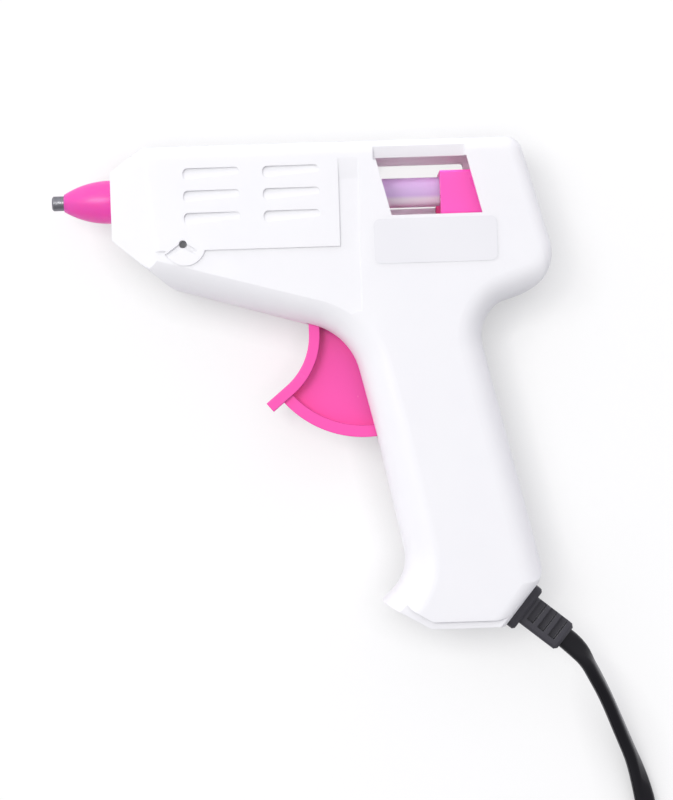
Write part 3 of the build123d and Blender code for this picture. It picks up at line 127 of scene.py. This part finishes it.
def coil_points():
    """The turns, clockwise from the route's end to the side where the plug lies."""
    x, y = coil_centre()
    start = math.atan2(CORD_ROUTE[-1][1] - y, CORD_ROUTE[-1][0] - x)
    turns = COIL_TURNS + (start + math.pi / 2) / (2 * math.pi)
    count = round(turns * POINTS_PER_TURN)
    points = []
    for i in range(1, count + 1):
        done = turns * i / count
        index = min(int(done), len(TURN_PLACES) - 1)
        change = ease(max(0.0, (done - index - CHANGE_FROM) / (1 - CHANGE_FROM)))
        here, there = TURN_PLACES[index], TURN_PLACES[min(index + 1, len(TURN_PLACES) - 1)]
        column = here[0] + (there[0] - here[0]) * change
        layer = here[1] + (there[1] - here[1]) * change
        angle = start - 2 * math.pi * done
        radius = COIL_R + column * COLUMN
        height = -HALF_WIDTH + LAYER * (layer + 0.5)
        points.append((x + radius * math.cos(angle), y + radius * math.sin(angle), height))
    return points


def cord_points():
    """Control points from the strain relief through the coil into the plug."""
    x, y = coil_centre()
    low = y - COIL_R - COLUMN
    into_plug = [(x - RISE_AWAY, low, RISE_Z), (x - PLUG_AWAY - IN_PLUG, low, PLUG_MIDDLE_Z)]
    return [CORD_EXIT, *CORD_ROUTE, *coil_points(), *into_plug]


def smooth_line(points, name):
    """The points that a spline makes from the control points."""
    curve = bpy.data.curves.new(name, "CURVE")
    curve.dimensions = "3D"
    spline = curve.splines.new("NURBS")
    spline.points.add(len(points) - 1)
    for point, target in zip(points, spline.points):
        target.co = (*place(*point), 1.0)
    spline.order_u = LINE_ORDER
    spline.use_endpoint_u = True
    spline.resolution_u = LINE_STEPS
    holder = bpy.data.objects.new(name, curve)
    mesh = bpy.data.meshes.new_from_object(holder)
    line = [vertex.co.copy() for vertex in mesh.vertices]
    bpy.data.objects.remove(holder)
    bpy.data.curves.remove(curve)
    bpy.data.meshes.remove(mesh)
    return line


def flat_section():
    """The flat cord's outline: two parallel faces, slightly crowned, between rounded edges."""
    radius = CORD_THICKNESS / 2
    offset = CORD_WIDTH / 2 - radius
    outline = []
    for side in (1, -1):
        for i in range(EDGE_POINTS):
            turned = math.radians(-EDGE_ARC / 2 + EDGE_ARC * i / (EDGE_POINTS - 1))
            angle = turned + (math.pi if side < 0 else 0)
            outline.append((side * offset + radius * math.cos(angle), radius * math.sin(angle)))
    return outline


def twist_at(distance):
    """The cord's turn onto its edge in radians, by distance from the strain relief."""
    for (d0, a0), (d1, a1) in zip(TWIST, TWIST[1:]):
        if distance <= d1:
            return math.radians(a0 + (a1 - a0) * ease((distance - d0) / (d1 - d0)))
    return 0.0


def join_rings(bm, ring, following):
    """Quads between two closed rings of points."""
    for a in range(len(ring)):
        b = (a + 1) % len(ring)
        bm.faces.new((ring[a], ring[b], following[b], following[a]))


def mesh_object(name, bm):
    """The bmesh as an object in the scene, with its faces turned outwards."""
    bmesh.ops.recalc_face_normals(bm, faces=bm.faces)
    mesh = bpy.data.meshes.new(name)
    bm.to_mesh(mesh)
    bm.free()
    piece = bpy.data.objects.new(name, mesh)
    bpy.context.scene.collection.objects.link(piece)
    return piece


def build_cord():
    """The flat cord as a mesh that follows its spline, level where it lies, on edge where it twists."""
    line = smooth_line(cord_points(), "cord_line")
    line = [line[0] - (line[1] - line[0]).normalized() * INSIDE_RELIEF * MM, *line]
    section = flat_section()
    bm = bmesh.new()
    rings, length = [], 0.0
    for i, point in enumerate(line):
        before, after = line[max(i - 1, 0)], line[min(i + 1, len(line) - 1)]
        if i:
            length += (point - line[i - 1]).length
        along = (after - before).normalized()
        across = along.cross(Vector((0, 0, 1))).normalized()
        upwards = across.cross(along)
        angle = twist_at(max(length / MM - INSIDE_RELIEF, 0.0))
        wide = across * math.cos(angle) + upwards * math.sin(angle)
        thin = upwards * math.cos(angle) - across * math.sin(angle)
        rings.append([bm.verts.new(point + (wide * u + thin * v) * MM) for u, v in section])
    for ring, following in zip(rings, rings[1:]):
        join_rings(bm, ring, following)
    bm.faces.new(rings[0][::-1])
    bm.faces.new(rings[-1])
    cord = mesh_object("flat_cord", bm)
    for polygon in cord.data.polygons:
        polygon.use_smooth = len(polygon.vertices) == 4
    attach(cord, "housing")
    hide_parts("power_cord", "cord_coil")
    return cord, line, length


cord, cord_line, cord_length = build_cord()

# --------------------------------------------------------------------------- nodes
NOISE_LOW, NOISE_HIGH = 0.15, 0.85           # the part of a noise value's range that is spread out
EDGE_SAMPLES = 6                             # rays that find the rounding of an edge


def empty_tree(owner, output_type):
    """The node tree of a material or a world, with nothing in it but its output."""
    owner.use_nodes = True
    tree = owner.node_tree
    tree.nodes.clear()
    return tree, tree.nodes.new(output_type)


def node_material(name):
    """A material of one principled shader."""
    material = bpy.data.materials.new(name)
    tree, output = empty_tree(material, "ShaderNodeOutputMaterial")
    shader = tree.nodes.new("ShaderNodeBsdfPrincipled")
    tree.links.new(shader.outputs["BSDF"], output.inputs["Surface"])
    return material, tree, shader


def arithmetic(tree, operation, *values):
    """The result of a math node on two values, each a number or another node's output."""
    node = tree.nodes.new("ShaderNodeMath")
    node.operation = operation
    for socket, value in zip(node.inputs, values):
        if isinstance(value, bpy.types.NodeSocket):
            tree.links.new(value, socket)
        else:
            socket.default_value = value
    return node.outputs[0]


def map_range(tree, value, before, after, interpolation="LINEAR"):
    """A value mapped from one range to another."""
    node = tree.nodes.new("ShaderNodeMapRange")
    node.interpolation_type = interpolation
    node.inputs["From Min"].default_value, node.inputs["From Max"].default_value = before
    node.inputs["To Min"].default_value, node.inputs["To Max"].default_value = after
    tree.links.new(value, node.inputs["Value"])
    return node.outputs["Result"]


def noise(tree, scale, detail=3.0, stretch=(1, 1, 1)):
    """Noise over the piece's own place, in cycles per metre."""
    where = tree.nodes.new("ShaderNodeTexCoord")
    mapping = tree.nodes.new("ShaderNodeMapping")
    mapping.inputs["Scale"].default_value = stretch
    texture = tree.nodes.new("ShaderNodeTexNoise")
    texture.inputs["Scale"].default_value = scale
    texture.inputs["Detail"].default_value = detail
    tree.links.new(where.outputs["Object"], mapping.inputs["Vector"])
    tree.links.new(mapping.outputs["Vector"], texture.inputs["Vector"])
    return texture.outputs["Fac"]


def spread(tree, value, low, high):
    """A noise value spread between two numbers."""
    return map_range(tree, value, (NOISE_LOW, NOISE_HIGH), (low, high), "SMOOTHSTEP")


def blend_colours(tree, value, low, high):
    """A colour between two, by a value from 0 to 1."""
    node = tree.nodes.new("ShaderNodeMix")
    node.data_type = "RGBA"
    node.inputs["A"].default_value, node.inputs["B"].default_value = (*low, 1), (*high, 1)
    tree.links.new(value, node.inputs["Factor"])
    return node.outputs["Result"]


def mix_shaders(tree, share, first, second):
    """The first shader, or the second where the share is 1."""
    node = tree.nodes.new("ShaderNodeMixShader")
    for source, socket in zip((share, first.outputs[0], second.outputs[0]), node.inputs):
        tree.links.new(source, socket)
    return node.outputs[0]


def bump(tree, shader, value, depth, edge=0.0):
    """A fine skin, its depth in metres, on edges that are rounded to a small radius."""
    node = tree.nodes.new("ShaderNodeBump")
    if edge:
        rounding = tree.nodes.new("ShaderNodeBevel")
        rounding.samples = EDGE_SAMPLES
        rounding.inputs["Radius"].default_value = edge * MM
        tree.links.new(rounding.outputs["Normal"], node.inputs["Normal"])
    node.inputs["Distance"].default_value = depth
    tree.links.new(value, node.inputs["Height"])
    tree.links.new(node.outputs["Normal"], shader.inputs["Normal"])


# --------------------------------------------------------------------------- materials
GLOSS_FINER = 3                  # how much finer than its colour a plastic's gloss is
MARK_DARKNESS = 0.82             # of the marks in a metal, against its colour
METAL_GLOSS_COARSER = 4          # how much coarser than its marks a metal's gloss is
STICK_CAUSTIC_HEIGHTS = (-2.0, -0.7)  # the stick's colour changes between these heights from its axis, to a painted highlight below
GLUE_IOR = 1.48


def moulded(name, colour, shade, rough, grain=900.0, depth=6e-6, patches=60.0, edge=0.0):
    """Moulded plastic or rubber: faint colour clouds, uneven gloss and a fine skin."""
    material, tree, shader = node_material(name)
    clouds = spread(tree, noise(tree, patches, detail=2.0), 0, 1)
    tree.links.new(blend_colours(tree, clouds, shade, colour), shader.inputs["Base Color"])
    gloss = noise(tree, patches * GLOSS_FINER)
    tree.links.new(spread(tree, gloss, *rough), shader.inputs["Roughness"])
    bump(tree, shader, noise(tree, grain, detail=4.0), depth, edge)
    return material


def metal(name, colour, rough, stretch, grain=1400.0, depth=4e-6):
    """Metal with fine marks drawn out along one axis."""
    material, tree, shader = node_material(name)
    marks = noise(tree, grain, detail=5.0, stretch=stretch)
    dark = tuple(c * MARK_DARKNESS for c in colour)
    tree.links.new(blend_colours(tree, spread(tree, marks, 0, 1), dark, colour), shader.inputs["Base Color"])
    gloss = noise(tree, grain / METAL_GLOSS_COARSER, stretch=stretch)
    tree.links.new(spread(tree, gloss, *rough), shader.inputs["Roughness"])
    shader.inputs["Metallic"].default_value = 1.0
    bump(tree, shader, marks, depth)
    return material


def milky(material, weight, reach, tint):
    """The material of thin walls that let some light through: how much, how far (metres) and its colour."""
    shader = material.node_tree.nodes["Principled BSDF"]
    shader.inputs["Subsurface Weight"].default_value = weight
    shader.inputs["Subsurface Radius"].default_value = tint
    shader.inputs["Subsurface Scale"].default_value = reach
    return material


def glossy(material, level, coat, coat_rough):
    """The material of a jacket that mirrors little from above and much at a glance."""
    shader = material.node_tree.nodes["Principled BSDF"]
    shader.inputs["Specular IOR Level"].default_value = level
    shader.inputs["Coat Weight"].default_value = coat
    shader.inputs["Coat Roughness"].default_value = coat_rough
    return material


def hot_melt(name, colour, caustic_highlight, rough, transmission):
    """Translucent glue, with a painted highlight: paler along the side of the stick that faces the grip.

    Its roughness stays above 0.274. Where it crosses that value, the denoiser leaves marks like cracks.
    """
    material, tree, shader = node_material(name)
    where = tree.nodes.new("ShaderNodeTexCoord")
    parts = tree.nodes.new("ShaderNodeSeparateXYZ")
    tree.links.new(where.outputs["Object"], parts.inputs[0])
    heights = [place(0, 0).y + height * MM for height in STICK_CAUSTIC_HEIGHTS]
    # painted highlight: pale on the side towards the grip, where light refracted through the stick gathers
    side = map_range(tree, parts.outputs["Y"], heights, (0, 1), "SMOOTHSTEP")
    tree.links.new(blend_colours(tree, side, caustic_highlight, colour), shader.inputs["Base Color"])
    gloss = noise(tree, scale=180, stretch=(0.3, 1, 1))
    tree.links.new(spread(tree, gloss, *rough), shader.inputs["Roughness"])
    bump(tree, shader, noise(tree, scale=260, detail=2.0, stretch=(0.2, 1, 1)), depth=1e-6)
    shader.inputs["Transmission Weight"].default_value = transmission
    shader.inputs["IOR"].default_value = GLUE_IOR
    return material


MATERIALS = {
    "housing": milky(moulded("housing_plastic", (0.92, 0.92, 0.93), (0.905, 0.905, 0.92), (0.3, 0.38),
                             depth=4e-6, edge=0.12), weight=0.22, reach=0.003, tint=(1, 1, 1)),
    "label": moulded("label_film", (0.845, 0.845, 0.86), (0.825, 0.825, 0.845), (0.42, 0.5),
                     grain=3500.0, depth=3e-6),
    "cover": milky(moulded("nozzle_cover_silicone", (0.99, 0.08, 0.46), (0.97, 0.07, 0.43), (0.28, 0.38),
                           depth=8e-6), weight=0.5, reach=0.004, tint=(1, 0.12, 0.4)),
    "trigger": moulded("trigger_plastic", (0.995, 0.09, 0.46), (0.99, 0.085, 0.445), (0.23, 0.28), edge=0.4),
    "carriage": moulded("carriage_plastic", (0.98, 0.1, 0.52), (0.97, 0.096, 0.5), (0.26, 0.31), edge=0.25),
    "jaw": moulded("jaw_rubber", (0.55, 0.02, 0.16), (0.48, 0.016, 0.14), (0.5, 0.6)),
    # the glue stick's second colour is a painted highlight along its lower side
    "stick": hot_melt("glue_stick", (0.73, 0.55, 0.87), (1.0, 0.97, 0.95), (0.285, 0.335),
                      transmission=0.5),
    "sleeve": moulded("silicone_white", (0.72, 0.7, 0.68), (0.66, 0.64, 0.62), (0.45, 0.55)),
    "black": moulded("black_rubber", (0.044, 0.042, 0.052), (0.034, 0.033, 0.042), (0.3, 0.42),
                     depth=1.4e-5, edge=0.3),
    "cord": glossy(moulded("cord_jacket", (0.006, 0.0056, 0.008), (0.0045, 0.0042, 0.006), (0.12, 0.2),
                           depth=2e-6), level=0.2, coat=0.2, coat_rough=0.05),
    "plug": moulded("plug_plastic", (0.016, 0.016, 0.017), (0.012, 0.012, 0.013), (0.34, 0.45),
                    depth=1.2e-5, edge=0.4),
    "nozzle": metal("nozzle_metal", (0.27, 0.27, 0.29), (0.26, 0.46), (3, 0.8, 0.8), grain=1100.0,
                    depth=4e-5),
    "steel": metal("zinc_steel", (0.62, 0.62, 0.63), (0.25, 0.4), (1, 1, 1)),
    "chamber": metal("cast_aluminium", (0.62, 0.62, 0.63), (0.45, 0.6), (1, 1, 1), grain=700.0, depth=2e-5),
    "brass": metal("brass_sheet", (0.72, 0.55, 0.26), (0.25, 0.4), (1, 4, 1)),
    "pins": metal("nickel_pins", (0.66, 0.65, 0.62), (0.12, 0.24), (0.3, 2, 2)),
    "ceramic": moulded("fired_ceramic", (0.3, 0.29, 0.28), (0.24, 0.23, 0.22), (0.6, 0.75), depth=2e-5),
    "film": moulded("amber_film", (0.6, 0.26, 0.04), (0.52, 0.2, 0.03), (0.2, 0.3)),
    "brown": moulded("live_insulation", (0.12, 0.05, 0.02), (0.1, 0.04, 0.015), (0.35, 0.45)),
    "blue": moulded("neutral_insulation", (0.02, 0.1, 0.42), (0.015, 0.08, 0.36), (0.35, 0.45)),
}
NODE_MATERIALS = {
    "left_housing": "housing", "right_housing": "housing", "rating_label": "label",
    "housing_screws": "steel", "nozzle_tip": "nozzle", "nozzle_cover": "cover", "melt_chamber": "chamber",
    "ptc_heater": "ceramic", "heater_electrodes": "brass", "insulation_film": "film",
    "heater_wedge": "chamber", "inlet_sleeve": "sleeve", "sleeve_clamp": "steel", "glue_stick": "stick",
    "feed_carriage": "carriage", "grip_jaw": "jaw", "trigger": "trigger", "return_spring": "steel",
    "live_wire": "brown", "neutral_wire": "blue", "crimp_sleeves": "brass", "cord_tail": "cord",
    "cord_clamp": "housing", "clamp_screws": "steel", "strain_relief": "black", "plug_body": "plug",
    "plug_pins": "pins",
}
SHARP_FROM = 28                  # edges that turn by more than this many degrees stay sharp


def dress(piece, key):
    piece.data.materials.clear()
    piece.data.materials.append(MATERIALS[key])


for node, key in NODE_MATERIALS.items():
    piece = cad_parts[node]
    dress(piece, key)
    for polygon in piece.data.polygons:
        polygon.use_smooth = True
    piece.data.set_sharp_from_angle(angle=math.radians(SHARP_FROM))
dress(cord, "cord")

# --------------------------------------------------------------------------- plug details
PIN_SPACING, PIN_SLEEVE, PIN_R, SLEEVE_WALL = 18.6, 10.0, 2.0, 0.12
SLEEVE_EDGE, SLEEVE_STEPS = 0.35, 32         # the rounding of its ends, as a share of the wall


def ring_tube(name, x, y, z, length, outer, inner):
    """A short sleeve along x with slightly rounded ends."""
    edge = (outer - inner) * SLEEVE_EDGE
    profile = [(0, inner), (0, outer - edge), (edge, outer), (length - edge, outer), (length, outer - edge),
               (length, inner)]
    bm = bmesh.new()
    rings = []
    for i in range(SLEEVE_STEPS):
        angle = 2 * math.pi * i / SLEEVE_STEPS
        rings.append([bm.verts.new(place(x + px, y + r * math.cos(angle), z + r * math.sin(angle)))
                      for px, r in profile])
    for i, ring in enumerate(rings):
        join_rings(bm, ring, rings[(i + 1) % SLEEVE_STEPS])
    piece = mesh_object(name, bm)
    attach(piece, "housing")
    return piece


def pin_sleeves():
    """The insulating sleeves on the half of each pin next to the plug."""
    _, y = coil_centre()
    front = (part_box("plug_body")[0][0] - GUN.x) / MM
    sleeves = []
    for name, side in (("pin_sleeve_left", -1), ("pin_sleeve_right", 1)):
        middle = y - COIL_R - COLUMN + side * PIN_SPACING / 2
        sleeve = ring_tube(name, front - PIN_SLEEVE, middle, PLUG_MIDDLE_Z, PIN_SLEEVE, PIN_R,
                           PIN_R - SLEEVE_WALL)
        dress(sleeve, "plug")
        sleeves.append(sleeve)
    return sleeves


pin_sleeves()

# --------------------------------------------------------------------------- floor
FLOOR_SIZE = 6.0                             # metres
FLOOR_COLOUR = (0.86, 0.86, 0.87, 1)         # as the object is lit from it
FLOOR_SHARE = 0.38               # how much of the floor's brightness is lit, and so can be shaded
FLOOR_SHARE_INSIDE = 0.1         # the same where it is seen through the gun's windows: a painted pool of light there
WINDOW_MIDDLE, WINDOW_NEAR, WINDOW_FAR = (77.0, 0.0), 12.0, 17.0
CONTACT_REACH, CONTACT_DEPTH = 10.0, 0.9     # the narrow shadow right beside the object, and its strength
CONTACT_SAMPLES = 8


def share_of_floor(tree):
    """The lit share of the floor's brightness, least where it is seen through the gun's windows, which
    paints light into the gun's shadow there.
    """
    where = tree.nodes.new("ShaderNodeTexCoord")
    window = place(*WINDOW_MIDDLE)
    distance = tree.nodes.new("ShaderNodeVectorMath")
    distance.operation = "DISTANCE"
    distance.inputs[1].default_value = (window.x, window.y, 0.0)
    tree.links.new(where.outputs["Object"], distance.inputs[0])
    return map_range(tree, distance.outputs["Value"], (WINDOW_NEAR * MM, WINDOW_FAR * MM),
                     (FLOOR_SHARE_INSIDE, FLOOR_SHARE))


def less_contact(tree, lift, share):
    """The floor's lift, less beside whatever stands within CONTACT_REACH."""
    near = tree.nodes.new("ShaderNodeAmbientOcclusion")
    near.samples = CONTACT_SAMPLES
    near.inputs["Distance"].default_value = CONTACT_REACH * MM
    hidden = arithmetic(tree, "SUBTRACT", 1.0, near.outputs["AO"])
    depth = arithmetic(tree, "MULTIPLY", hidden, CONTACT_DEPTH)
    return arithmetic(tree, "SUBTRACT", lift, arithmetic(tree, "MULTIPLY", depth, share))


def make_floor():
    """A white floor: lit as it is for the object, and lifted to white for what looks at it."""
    half = FLOOR_SIZE / 2
    corners = [(-half, -half, 0), (half, -half, 0), (half, half, 0), (-half, half, 0)]
    mesh = bpy.data.meshes.new("floor")
    mesh.from_pydata(corners, [], [(0, 1, 2, 3)])
    floor = bpy.data.objects.new("floor", mesh)
    bpy.context.scene.collection.objects.link(floor)
    material = bpy.data.materials.new("floor_white")
    mesh.materials.append(material)
    tree, output = empty_tree(material, "ShaderNodeOutputMaterial")
    plain = tree.nodes.new("ShaderNodeBsdfDiffuse")
    plain.inputs["Color"].default_value = FLOOR_COLOUR
    # near the windows the share is small, so the lift paints light over the gun's shadow
    share = share_of_floor(tree)
    shaded = tree.nodes.new("ShaderNodeBsdfDiffuse")
    tree.links.new(share, shaded.inputs["Color"])
    lift = tree.nodes.new("ShaderNodeEmission")
    rest = arithmetic(tree, "SUBTRACT", 1.0, share)
    tree.links.new(less_contact(tree, rest, share), lift.inputs["Strength"])
    seen = tree.nodes.new("ShaderNodeAddShader")
    tree.links.new(shaded.outputs[0], seen.inputs[0])
    tree.links.new(lift.outputs[0], seen.inputs[1])
    path = tree.nodes.new("ShaderNodeLightPath")
    looks = arithmetic(tree, "MAXIMUM", path.outputs["Is Camera Ray"], path.outputs["Is Transmission Ray"])
    tree.links.new(mix_shaders(tree, looks, plain, seen), output.inputs["Surface"])


# --------------------------------------------------------------------------- light
BRIGHT_SIDE, BRIGHT_FALL = (-0.4, 0.92, 0.0), 0.7    # where most light comes from, and how soon it falls off
# light that comes through the thin walls beside the windows, above the stick and onto the far rail:
# (name, place, length and width, watts)
GLOWS = [
    ("glow_upper", (77.0, 8.9, 10.4), (16.0, 1.2), 0.0009),
    ("glow_lower", (72.0, -4.9, -4.0), (11.0, 0.8), 0.00008),
]
GLOW_ONTO_Z = -12.0


def area_light(name, location, target, size, power, colour):
    """A rectangular light, its place and size in metres and its power in watts."""
    data = bpy.data.lights.new(name, "AREA")
    data.shape = "RECTANGLE"
    data.size, data.size_y = size
    data.energy = power
    data.color = colour
    light = bpy.data.objects.new(name, data)
    bpy.context.scene.collection.objects.link(light)
    light.location = location
    light.rotation_euler = (Vector(target) - Vector(location)).to_track_quat("-Z", "Y").to_euler()
    return light


def glow_inside():
    """The lights of GLOWS, which nothing sees or mirrors."""
    for name, (x, y, z), (length, width), power in GLOWS:
        glow = area_light(name, place(x, y, z), place(x, y, GLOW_ONTO_Z), (length * MM, width * MM), power,
                          colour=(1.0, 0.8, 0.9))
        glow.visible_camera = glow.visible_glossy = glow.visible_transmission = False


def make_world(low, high, colour):
    """Soft light from all round, stronger from the upper left of the picture; white to the camera."""
    world = bpy.data.worlds.new("studio")
    bpy.context.scene.world = world
    tree, output = empty_tree(world, "ShaderNodeOutputWorld")
    direction = tree.nodes.new("ShaderNodeTexCoord")
    towards = tree.nodes.new("ShaderNodeVectorMath")
    towards.operation = "DOT_PRODUCT"
    towards.inputs[1].default_value = BRIGHT_SIDE
    tree.links.new(direction.outputs["Generated"], towards.inputs[0])
    light = tree.nodes.new("ShaderNodeBackground")
    light.inputs["Color"].default_value = (*colour, 1)
    strength = map_range(tree, towards.outputs["Value"], (-BRIGHT_FALL, BRIGHT_FALL), (low, high))
    tree.links.new(strength, light.inputs["Strength"])
    white = tree.nodes.new("ShaderNodeBackground")
    white.inputs["Strength"].default_value = 1.0
    path = tree.nodes.new("ShaderNodeLightPath")
    mixed = mix_shaders(tree, path.outputs["Is Camera Ray"], light, white)
    tree.links.new(mixed, output.inputs["Surface"])


make_floor()
make_world(low=0.43, high=1.16, colour=(0.95, 0.94, 1.0))
area_light("key", location=(-0.45, 0.25, 1.15), target=(0, 0, 0), size=(0.45, 0.45), power=5.1,
           colour=(1.0, 1.0, 0.96))
glow_inside()
bpy.context.scene.view_settings.view_transform = "Standard"
